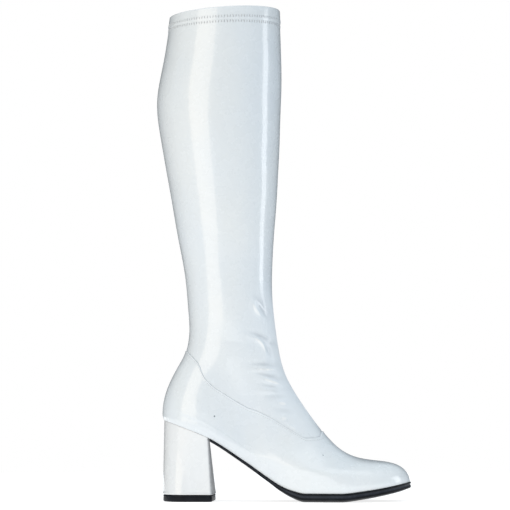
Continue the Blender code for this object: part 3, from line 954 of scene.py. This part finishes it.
class StitchTree(TreeSketch):
    """Geometry Nodes that lay thread along a path, one bar of thread a stitch."""

    names = ("Pitch", "Length", "Thickness", "Slant")

    def __init__(self, name: str, seed: int) -> None:
        """Build the tree.

        Args:
            name: The tree's name.
            seed: Seed of the small differences between stitches.
        """
        super().__init__(bpy.data.node_groups.new(name, "GeometryNodeTree"))
        face = self.tree.interface
        face.new_socket("Geometry", in_out="INPUT", socket_type="NodeSocketGeometry")
        for label in self.names:
            face.new_socket(label, in_out="INPUT", socket_type="NodeSocketFloat")
        face.new_socket("Thread", in_out="INPUT", socket_type="NodeSocketMaterial")
        face.new_socket("Geometry", in_out="OUTPUT", socket_type="NodeSocketGeometry")
        given = self.add("NodeGroupInput").outputs
        path = self.add("GeometryNodeMeshToCurve", {0: given["Geometry"]}).outputs[0]
        even = self.add("GeometryNodeResampleCurve", {"Curve": path, "Length": given["Pitch"]},
                        mode="LENGTH").outputs[0]
        place = self.add("GeometryNodeInstanceOnPoints",
                         {"Points": even, "Instance": self.bar(given),
                          "Rotation": self.direction(given),
                          "Scale": self.add("FunctionNodeRandomValue", {2: 0.88, 3: 1.1, "Seed": seed},
                                            data_type="FLOAT").outputs[1]})
        real = self.add("GeometryNodeRealizeInstances", {0: place.outputs[0]}).outputs[0]
        dressed = self.add("GeometryNodeSetMaterial", {"Geometry": real, "Material": given["Thread"]})
        self.tree.links.new(dressed.outputs[0], self.add("NodeGroupOutput").inputs[0])

    def bar(self, given: bpy.types.NodeOutputs) -> Socket:
        """One stitch: a bead drawn out to its length."""
        bead = self.add("GeometryNodeMeshUVSphere", {"Segments": 8, "Rings": 6, "Radius": 0.5})
        size = self.add("ShaderNodeCombineXYZ", {"X": given["Thickness"], "Y": given["Thickness"],
                                                 "Z": given["Length"]})
        return self.add("GeometryNodeTransform", {"Geometry": bead.outputs["Mesh"],
                                                  "Scale": size.outputs[0]}).outputs[0]

    def direction(self, given: bpy.types.NodeOutputs) -> Socket:
        """Each stitch's rotation, slanted to one side and the other by turns."""
        along, out = [self.add("GeometryNodeInputNamedAttribute", {"Name": label},
                               data_type="FLOAT_VECTOR").outputs[0] for label in ("along", "out")]
        axes = self.add("FunctionNodeAxesToRotation", {0: along, 1: out},
                        primary_axis="Z", secondary_axis="X")
        parity = self.calc("MODULO", self.add("GeometryNodeInputIndex").outputs[0], 2.0)
        sign = self.calc("SUBTRACT", self.calc("MULTIPLY", parity, 2.0), 1.0)
        turn = self.add("ShaderNodeCombineXYZ", {"X": self.calc("MULTIPLY", sign, given["Slant"])})
        return self.add("FunctionNodeRotateRotation", {0: axes.outputs[0], 1: turn.outputs[0]},
                        rotation_space="LOCAL").outputs[0]

    def sew(self, name: str, path: Grid, along: Grid, out: Grid, sizes: Sequence[float],
            thread: Finish) -> Piece:
        """Stitches along a closed path, as a plain mesh.

        Args:
            name: The piece's name.
            path: The path's points, in metres.
            along: The direction of a stitch at each point.
            out: The outward direction at each point.
            sizes: Pitch, length and thickness in metres, and slant in radians.
            thread: The thread's finish.

        Returns:
            The registered piece.
        """
        count = len(path)
        mesh = bpy.data.meshes.new(name + "_path")
        mesh.from_pydata(path.tolist(), [(i, (i + 1) % count) for i in range(count)], [])
        for label, values in (("along", along), ("out", out)):
            layer = mesh.attributes.new(label, "FLOAT_VECTOR", "POINT")
            layer.data.foreach_set("vector", np.asarray(values, dtype=np.float32).ravel())
        guide = bpy.data.objects.new(name + "_path", mesh)
        bpy.context.collection.objects.link(guide)
        modifier = guide.modifiers.new("sewing", "NODES")
        modifier.node_group = self.tree
        wanted = {label: float(size) for label, size in zip(self.names, sizes)}
        wanted["Thread"] = thread
        for item in self.tree.interface.items_tree:
            if item.in_out == "INPUT" and item.name in wanted:
                modifier[item.identifier] = wanted[item.name]
        seen = guide.evaluated_get(bpy.context.evaluated_depsgraph_get())
        sewn = bpy.data.meshes.new_from_object(seen)
        sewn.name = name
        sewn.shade_smooth()
        piece = bpy.data.objects.new(name, sewn)
        bpy.context.collection.objects.link(piece)
        guide.modifiers.remove(modifier)
        bpy.data.objects.remove(guide)
        return register(piece, "white_patent")


@dataclass(frozen=True)
class Row:
    """Sizes of one row of stitches in millimetres, and their slant in degrees."""

    pitch: float
    length: float
    thickness: float
    slant: float = 0.0

    def sizes(self) -> Tuple[float, float, float, float]:
        """The sizes in metres and the slant in radians."""
        return self.pitch * MM, self.length * MM, self.thickness * MM, math.radians(self.slant)


@dataclass
class Stitching:
    """The hem's two rows of slanted stitches and the row beside the foot panel's seam."""

    last: Last
    upper: Upper
    hem_rows_down: Tuple[float, float] = (9.6, 14.4)
    hem_row: Row = Row(2.75, 2.9, 0.85, 12.0)
    hem_sink: float = 0.03
    seam_row: Row = Row(2.3, 1.75, 0.32)
    seam_inset: float = 2.6
    seam_sink: float = 0.02
    samples: int = 480

    def path(self, turns: Grid, rises: Grid, height: float) -> Tuple[Grid, Grid, Grid, Grid]:
        """A path round the boot.

        Args:
            turns: Angles round the last.
            rises: Distances up the boot.
            height: Height over the shaft's outer face.

        Returns:
            World points, and unit directions round, up and out.
        """
        points = self.last.points(turns, rises)
        out = self.last.normals(turns, rises)
        points = points + out * (self.upper.relief(turns, rises, points) + height)[..., None]
        round_it = np.roll(points, -1, axis=0) - np.roll(points, 1, axis=0)
        round_it /= np.linalg.norm(round_it, axis=-1, keepdims=True)
        return self.last.to_world(points), round_it, np.cross(round_it, out), out

    def build(self, thread: Finish) -> None:
        """Sew every row of stitches."""
        tree = StitchTree("boot_stitches", seed=7)
        turns = np.arange(self.samples) * (2.0 * math.pi / self.samples)
        for i, down in enumerate(self.hem_rows_down):
            height = self.upper.hem_step - self.hem_sink if down < self.upper.hem_depth else 0.0
            rises = np.full_like(turns, self.last.top - down)
            points, _, up, out = self.path(turns, rises, height)
            tree.sew(f"hem_stitches_{i + 1}", points, up, out, self.hem_row.sizes(), thread)
        rises = self.last.seam(turns) - self.seam_inset
        points, along, _, out = self.path(turns, rises, self.upper.foot_step - self.seam_sink)
        tree.sew("seam_stitches", points, along, out, self.seam_row.sizes(), thread)


# Sole, insole and heel

# The sole's edge: distance outside the feather line past the welt's, and share of its height.
SOLE_PROFILE = ((-0.6, 0.0), (-0.18, 0.02), (0.0, 0.07), (0.0, 0.22), (-0.1, 0.26), (-0.42, 0.28),
                (-0.5, 0.31), (-0.5, 0.60), (-0.42, 0.63), (-0.1, 0.65), (0.0, 0.69),
                (-0.02, 0.86), (-0.2, 0.95), (-0.7, 1.0))
BAND_RINGS = (6, 10)
TREAD_SHARES = (0.15, 0.4, 0.7, 0.9, 1.0)
# The insole's edge: distance inside its side, and depth below its top.
INSOLE_PROFILE = ((1.4, 0.0), (0.7, 0.08), (0.2, 0.35), (0.0, 0.8))
# The heel cover's ends: share of the way down, inset, and drop below the seat.
COVER_TOP = ((0.0, 0.6, 0.0), (0.0, 0.16, 0.04), (0.0, 0.02, 0.2), (0.0, 0.0, 0.6))
COVER_LIP = ((0.968, -0.02, 0.0), (0.975, -0.16, 0.0), (0.984, -0.22, 0.0), (0.992, -0.16, 0.0),
             (0.998, 0.1, 0.0), (1.0, 0.6, 0.0))
# The top lift: inset and height.
LIFT_PROFILE = ((1.2, 6.4), (0.55, 6.35), (0.4, 6.1), (0.38, 4.6), (0.55, 4.4), (0.55, 4.15),
                (0.36, 3.95), (0.3, 1.6), (0.4, 0.8), (0.75, 0.25), (1.3, 0.0))


@dataclass
class Bottom:
    """Outsole, insole, covered heel and top lift."""

    last: Last
    gap: float = 0.3
    wall: float = 1.8
    insole_thick: float = 2.0
    insole_room: float = 1.3
    tread_bevel: float = 9.0
    breast_x: float = 43.6
    breast_room: float = 3.0
    breast_line_x: float = 44.4
    breast_turn: float = math.tan(math.radians(-1.0))
    breast_lean: float = 0.12
    heel_turn: float = math.tan(math.radians(3.6))
    heel_foot_x: float = 49.2
    heel_back_x: float = 0.6
    heel_seat_inset: float = 0.5
    heel_foot_half: float = 24.5
    heel_round_x: float = 22.0
    heel_roundness: float = 2.3
    heel_corner: float = 3.0
    heel_hollow: float = 0.035
    heel_gap: float = 0.12
    heel_rows: int = 26
    tip_thick: float = 6.4
    half_columns: int = 150
    heel_steps: int = 60
    corner_steps: int = 8

    def half_turns(self, last_turn: float) -> Grid:
        """Angles from the toe back along the outer side, closer at the ends."""
        share = np.linspace(0.0, 1.0, self.half_columns + 1)
        if last_turn < math.pi:
            across = share ** 1.25
        else:
            across = 0.6 * 0.5 * (1.0 - np.cos(math.pi * share)) + 0.4 * share
        top = 0.5 * (1.0 - math.cos(last_turn))
        return np.arccos(1.0 - 2.0 * across * top)

    @staticmethod
    def plate(turns: Grid, rings: Sequence[Callable[[Grid], Grid]],
              whole: bool) -> Tuple[Grid, List[Corners], int]:
        """A plate along the foot from rings of points, top to bottom.

        Args:
            turns: Angles of one side, from the toe.
            rings: A function from angles to points for each ring.
            whole: Whether the plate is round at the heel too.

        Returns:
            Points, faces and the count of points in a ring.
        """
        inner = turns[1:-1] if whole else turns[1:]
        outline = np.concatenate([turns, 2.0 * math.pi - inner[::-1]])
        count = len(outline)
        points = np.concatenate([ring(outline) for ring in rings])
        faces = walls(len(rings), count)
        for base in (0, (len(rings) - 1) * count):
            for i in range(len(turns) - 1):
                corners = (base + i, base + i + 1, base + (count - i - 1) % count,
                           base + (count - i) % count)
                faces.append(tuple(dict.fromkeys(corners)))
        return points, faces, count

    def breast_line(self, y: Grid) -> Grid:
        """Where the heel's front face stands at its top."""
        return self.breast_line_x + self.breast_turn * y

    def sole_outline(self, turns: Grid, inset: float, depth: float) -> Grid:
        """The sole's outline, cut off along the heel's front face, which leans forward."""
        points = self.last.feather(turns, inset)
        end = points[:, 0] < self.breast_x + self.breast_room
        points[end, 0] = self.breast_line(points[end, 1]) + self.gap + self.breast_lean * depth
        return points

    def edge_ring(self, turns: Grid, outset: float, share: float) -> Grid:
        """A ring on the sole's edge, at a share of its height."""
        depth = share * self.last.sole_edge(self.breast_x)
        points = self.sole_outline(turns, -outset, depth)
        x = points[:, 0]
        points[:, 2] = self.last.feather_height(x) - self.gap - share * self.last.sole_edge(x)
        return points

    def tread_ring(self, turns: Grid, inset: float, share: float) -> Grid:
        """A ring on the bevel, at a share of the way from the edge to the tread."""
        last = self.last
        top, bottom = last.sole_edge(self.breast_x), last.tread_depth(self.breast_x)
        points = self.sole_outline(turns, inset, top + (bottom - top) * share)
        x = points[:, 0]
        low = last.feather_height(x) - last.tread_depth(x)
        high = last.feather_height(x) - self.gap - last.sole_edge(x)
        points[:, 2] = high + (low - high) * share
        return points

    def build_outsole(self, edge: Finish, reflection_band: Finish) -> Piece:
        """The outsole, its edge cut in two steps with a band between them, tinted paler and bluer as a
        painted reflection.
        """
        rings = [partial(self.edge_ring, outset=-self.last.margin, share=0.0)]
        rings += [partial(self.edge_ring, outset=self.last.welt + past, share=share)
                  for past, share in SOLE_PROFILE]
        rings += [partial(self.tread_ring, inset=share * self.tread_bevel,
                          share=math.sin(0.5 * math.pi * share)) for share in TREAD_SHARES]
        turns = self.half_turns(self.last.turn_at(self.breast_x))
        points, faces, count = self.plate(turns, rings, False)
        slots = np.zeros(len(faces), dtype=int)
        # The band's faces take the paler finish, a painted reflection.
        slots[BAND_RINGS[0] * count:BAND_RINGS[1] * count] = 1
        piece = new_piece("outsole_shell", self.last.to_world(points), faces, (edge, reflection_band), slots,
                          EDGE_DEGREES)
        return register(piece, "black_sole", "outsole")

    def build_insole(self, finish: Finish) -> Piece:
        """The sock-lined insole on the margin."""
        side = self.wall + self.insole_room
        bottom = self.wall + self.gap
        top = bottom + self.insole_thick
        rings = [partial(self.last.feather, inset=side + inset, lift=top - depth)
                 for inset, depth in INSOLE_PROFILE]
        rings += [partial(self.last.feather, inset=inset, lift=bottom)
                  for inset in (side, self.last.margin)]
        points, faces, _ = self.plate(self.half_turns(math.pi), rings, True)
        piece = new_piece("sock_insole", self.last.to_world(points), faces, (finish,))
        return register(piece, "sock_lining", "insole")

    def seat_outline(self) -> Grid:
        """The heel's outline under the upper, from its outer front corner round the back."""
        start = self.last.turn_at(self.breast_x)
        turns = np.linspace(start, 2.0 * math.pi - start, 2 * self.heel_steps + 1)
        outline = self.last.feather(turns, self.heel_seat_inset)[:, :2]
        for end in (0, -1):
            outline[end, 0] = self.breast_line(outline[end, 1])
        return outline

    def foot_outline(self, inset: float = 0.0) -> Grid:
        """The heel's outline at its foot, point for point with the seat's."""
        share = np.linspace(0.0, 1.0, self.heel_steps + 1)
        depth = self.heel_foot_x - self.heel_back_x - 2.0 * inset
        x = self.heel_foot_x - inset - depth * np.sin(0.5 * math.pi * share)
        swell = np.maximum(0.0, (self.heel_round_x - x) / (self.heel_round_x - self.heel_back_x - inset))
        y = (self.heel_foot_half - inset) * np.sqrt(np.maximum(0.0, 1.0 - swell ** self.heel_roundness))
        x = np.concatenate([x, x[-2::-1]])
        y = np.concatenate([-y, y[-2::-1]])
        forward = np.maximum(0.0, (x - self.heel_round_x) / (self.heel_foot_x - self.heel_round_x))
        return np.stack([x + self.heel_turn * y * forward, y], axis=-1)

    def rounded_corner(self, point: Grid, reached: Grid, inward: Grid) -> Grid:
        """An arc from the front face to the side.

        Args:
            point: The sharp corner.
            reached: Where the side starts.
            inward: Unit direction along the front face, away from the corner.

        Returns:
            The arc's points, from the front face.
        """
        angles = np.linspace(0.0, 0.5 * math.pi, self.corner_steps + 1)[:-1, None]
        back = (reached - point) / np.linalg.norm(reached - point)
        return point + self.heel_corner * (inward * (1.0 - np.sin(angles)) + back * (1.0 - np.cos(angles)))

    def rounded(self, outline: Grid) -> Grid:
        """An outline with both front corners rounded.

        Args:
            outline: Points from one front corner round the back to the other.

        Returns:
            As many points for every outline of the same length.
        """
        radius = self.heel_corner
        first, end = outline[0], outline[-1]
        across = (end - first) / np.linalg.norm(end - first)
        lengths = np.linalg.norm(np.diff(outline, axis=0), axis=1)
        along = np.concatenate([[0.0], np.cumsum(lengths)])
        kept = radius + along * (1.0 - 2.0 * radius / along[-1])
        side = np.column_stack([np.interp(kept, along, outline[:, i]) for i in (0, 1)])
        return np.concatenate([self.rounded_corner(first, side[0], across), side,
                               self.rounded_corner(end, side[-1], -across)[::-1]])

    @staticmethod
    def solid(rings: List[Grid]) -> Tuple[Grid, List[Corners]]:
        """Closed rings, top to bottom, with strips across both ends."""
        count = len(rings[0])
        faces = walls(len(rings), count)
        for base in (0, (len(rings) - 1) * count):
            for i in range(count // 2 - 1):
                faces.append((base + i, base + i + 1, base + count - 2 - i, base + count - 1 - i))
            if count % 2:
                middle = count // 2
                faces.append((base + middle - 1, base + middle, base + middle + 1))
        return np.concatenate(rings), faces

    def build_heel(self, patent: Finish) -> Piece:
        """The covered block heel with its rounded edges and the cover's turned lip."""
        seat, foot = self.seat_outline(), self.foot_outline()
        foot_z = self.tip_thick + self.gap
        middle = [(share, 0.0, 0.0) for share in np.linspace(0.03, 0.955, self.heel_rows)]
        rings, past_front = [], []
        for share, inset, drop in [*COVER_TOP, *middle, *COVER_LIP]:
            hollow = 1.0 - self.heel_hollow * math.sin(math.pi * share)
            flat = ((1.0 - share) * seat + share * foot) * np.array([1.0, hollow])
            ring = self.rounded(flat)
            centre = ring.mean(axis=0)
            reach = np.linalg.norm(ring - centre, axis=1, keepdims=True)
            ring = centre + (ring - centre) * (1.0 - inset / reach)
            x, y = ring.T
            top = self.last.feather_height(x) - self.heel_gap - drop
            rings.append(np.column_stack([ring, (1.0 - share) * top + share * foot_z]))
            front = (1.0 - share) * self.breast_line(y) + share * (self.heel_foot_x + self.heel_turn * y)
            past_front.append(x - front)
        points, faces = self.solid(rings)
        piece = new_piece("heel_cover", self.last.to_world(points), faces, (patent,))
        # The cover is darker in a band at its foot, and its front face darker still as painted shade.
        at_foot = 0.15 * np.exp(-((points[:, 2] - foot_z) / 1.2) ** 2)
        breast = smooth_step(-2.4, -0.8, np.concatenate(past_front))
        for name, values in (("flex", np.zeros(len(points))), ("fold", np.zeros(len(points))),
                             ("grime_and_shade", at_foot + 0.8 * breast), ("worn", 0.9 * breast)):
            set_attribute(piece, name, values)
        return register(piece, "heel_cover", "heel")

    def build_tip(self, finish: Finish) -> Piece:
        """The top lift that the heel stands on."""
        rings = []
        for inset, z in LIFT_PROFILE:
            ring = self.rounded(self.foot_outline(inset))
            rings.append(np.column_stack([ring, np.full(len(ring), z)]))
        points, faces = self.solid(rings)
        piece = new_piece("top_lift", self.last.to_world(points), faces, (finish,), None, EDGE_DEGREES)
        return register(piece, "black_tip", "heel_tip")


# Studio

@dataclass(frozen=True)
class Lamp:
    """A soft box: degrees from the camera's side towards the toe, metres and watts."""

    name: str
    azimuth: float
    distance: float
    height: float
    size: Tuple[float, float]
    watts: float
    colour: Colour = (1.0, 1.0, 1.0)


LAMPS = (
    Lamp("left_box", -37.0, 1.9, 0.70, (1.25, 2.6), 19.4, (1.0, 0.85, 0.68)),
    Lamp("right_strip", 91.0, 1.7, 0.35, (0.42, 1.1), 4.4, (0.97, 0.985, 1.0)),
    Lamp("front_box", 40.0, 1.0, 2.0, (1.6, 1.2), 3.6),
)


@dataclass(frozen=True)
class Span:
    """A part of an axis of the surround over which its strength changes."""

    axis: str
    start: float
    end: float


@dataclass
class Studio:
    """Floor, soft lights and the camera of the photograph's view."""

    frame_px: float = 510.0
    mm_per_px: float = 0.955
    camera_distance: float = 2.3
    camera_height: float = 0.09
    aim: Tuple[float, float] = (-0.0273, 0.234)
    lamp_aim: Spot = (0.0, 0.0, 0.25)
    sensor: float = 36.0
    clip_end: float = 50.0
    floor_radius: float = 1.0
    floor_tones: Tuple[Colour, Colour] = ((0.50, 0.50, 0.50), (0.53, 0.53, 0.53))
    floor_glow: float = 0.80
    sky: Colour = (0.82, 0.92, 1.0)
    fill: Tuple[float, float] = (0.42, 0.13)
    fill_span: Span = Span("Y", -0.1, 0.35)
    overhead: Tuple[float, float] = (1.02, 0.90)
    overhead_span: Span = Span("Y", 0.02, 0.20)
    upper_span: Span = Span("Z", 0.35, 0.80)
    below: float = 0.76
    below_span: Span = Span("Z", -0.30, -0.02)

    def light(self, row: Lamp) -> None:
        """Hang a soft box that looks at the boot."""
        lamp = bpy.data.lights.new(row.name, "AREA")
        lamp.shape = "RECTANGLE"
        lamp.size, lamp.size_y = row.size
        lamp.energy = row.watts
        lamp.color = row.colour
        box = bpy.data.objects.new(row.name, lamp)
        angle = math.radians(row.azimuth)
        box.location = (row.distance * math.sin(angle), -row.distance * math.cos(angle), row.height)
        aim = Vector(self.lamp_aim) - box.location
        box.rotation_euler = aim.to_track_quat("-Z", "Y").to_euler()
        bpy.context.collection.objects.link(box)

    def build(self) -> None:
        """Set up the whole studio."""
        self.build_world()
        self.build_floor()
        for row in LAMPS:
            self.light(row)
        self.build_camera()

    @staticmethod
    def ramp(sketch: TreeSketch, towards: bpy.types.Node, span: Span,
             low: Union[Socket, float], high: Union[Socket, float]) -> Socket:
        """A strength that changes smoothly from low to high over a span of the surround."""
        return sketch.spread(towards.outputs[span.axis], low, high, span.start, span.end, "SMOOTHSTEP")

    def build_world(self) -> None:
        """A pale surround: white behind the boot, cool grey in its reflections."""
        scene = bpy.context.scene
        world = bpy.data.worlds.new("studio")
        world.use_nodes = True
        sketch = TreeSketch(world.node_tree)
        place = sketch.add("ShaderNodeTexCoord").outputs["Generated"]
        towards = sketch.add("ShaderNodeSeparateXYZ", {0: place})
        level = self.ramp(sketch, towards, self.fill_span, *self.fill)
        overhead = self.ramp(sketch, towards, self.overhead_span, *self.overhead)
        upper = self.ramp(sketch, towards, self.upper_span, level, overhead)
        strength = self.ramp(sketch, towards, self.below_span, self.below, upper)
        fill = sketch.fill(sketch.tree.nodes["Background"],
                           {"Color": (*self.sky, 1.0), "Strength": strength})
        plain = sketch.add("ShaderNodeBackground", {"Color": (1.0, 1.0, 1.0, 1.0), "Strength": 1.0})
        seen = sketch.add("ShaderNodeLightPath").outputs["Is Camera Ray"]
        mix = sketch.add("ShaderNodeMixShader", {0: seen, 1: fill.outputs[0], 2: plain.outputs[0]})
        sketch.fill(sketch.tree.nodes["World Output"], {"Surface": mix.outputs[0]})
        scene.world = world
        scene.view_settings.view_transform = "Standard"

    def build_floor(self) -> None:
        """A plain pale floor under the boot."""
        mesh = bpy.data.meshes.new("floor")
        work = bmesh.new()
        bmesh.ops.create_circle(work, cap_ends=True, segments=96, radius=self.floor_radius)
        work.to_mesh(mesh)
        work.free()
        floor = bpy.data.objects.new("floor", mesh)
        bpy.context.collection.objects.link(floor)
        sketch = NodeSketch("floor_finish")
        tone = sketch.spread(sketch.noise(Pattern(3.0)), 0.0, 1.0, 0.3, 0.7)
        mesh.materials.append(sketch.dressed({
            "Base Color": sketch.blend(tone, *self.floor_tones),
            "Roughness": 0.7,
            "Specular IOR Level": 0.1,
            "Emission Color": (1.0, 1.0, 1.0, 1.0),
            "Emission Strength": self.floor_glow,
        }))

    def build_camera(self) -> None:
        """The camera at the photograph's height, distance and framing."""
        lens = bpy.data.cameras.new("camera")
        lens.sensor_width = self.sensor
        width = self.frame_px * self.mm_per_px * MM
        rise = self.aim[1] - self.camera_height
        lens.lens = self.sensor * math.hypot(self.camera_distance, rise) / width
        lens.clip_end = self.clip_end
        camera = bpy.data.objects.new("camera", lens)
        camera.location = (self.aim[0], -self.camera_distance, self.camera_height)
        tilt = math.radians(90.0) + math.atan2(rise, self.camera_distance)
        camera.rotation_euler = (tilt, 0.0, 0.0)
        bpy.context.collection.objects.link(camera)
        bpy.context.scene.camera = camera


# The two dark specks: x and z in the side view in millimetres, and radius in metres.
SPECKS = ((49.7, 80.2, 0.0011), (151.8, 43.9, 0.0010))


def main() -> None:
    """Build the boot piece by piece, then the studio."""
    logging.basicConfig(level=logging.INFO, format="%(name)s %(message)s")
    last = Last()
    patent = Patent(specks=tuple((last.outer_spot(x, z), radius) for x, z, radius in SPECKS))
    cover = Patent("heel_cover_finish", (0.745, 0.773, 0.795), (0.78, 0.79, 0.795), ripple=0.12)
    sock = Lining("sock_finish", (0.62, 0.60, 0.56), (0.48, 0.46, 0.43), 420.0)
    edge = Rubber("sole_edge_finish")
    # The band's paler, bluer black is a painted reflection.
    reflection_band = Rubber("sole_band_painted_reflection_finish", (0.014, 0.018, 0.026), (0.029, 0.035, 0.047), (0.4, 0.55), 0.2)
    lift = Rubber("top_lift_finish", roughness=(0.35, 0.5))
    upper = Upper(last)
    upper.build(patent.material(), Lining().material())
    Stitching(last, upper).build(Thread().material())
    bottom = Bottom(last)
    bottom.build_outsole(edge.material(), reflection_band.material())
    bottom.build_insole(sock.material())
    bottom.build_heel(cover.material())
    bottom.build_tip(lift.material())
    Studio().build()


if __name__ == "__main__":
    main()
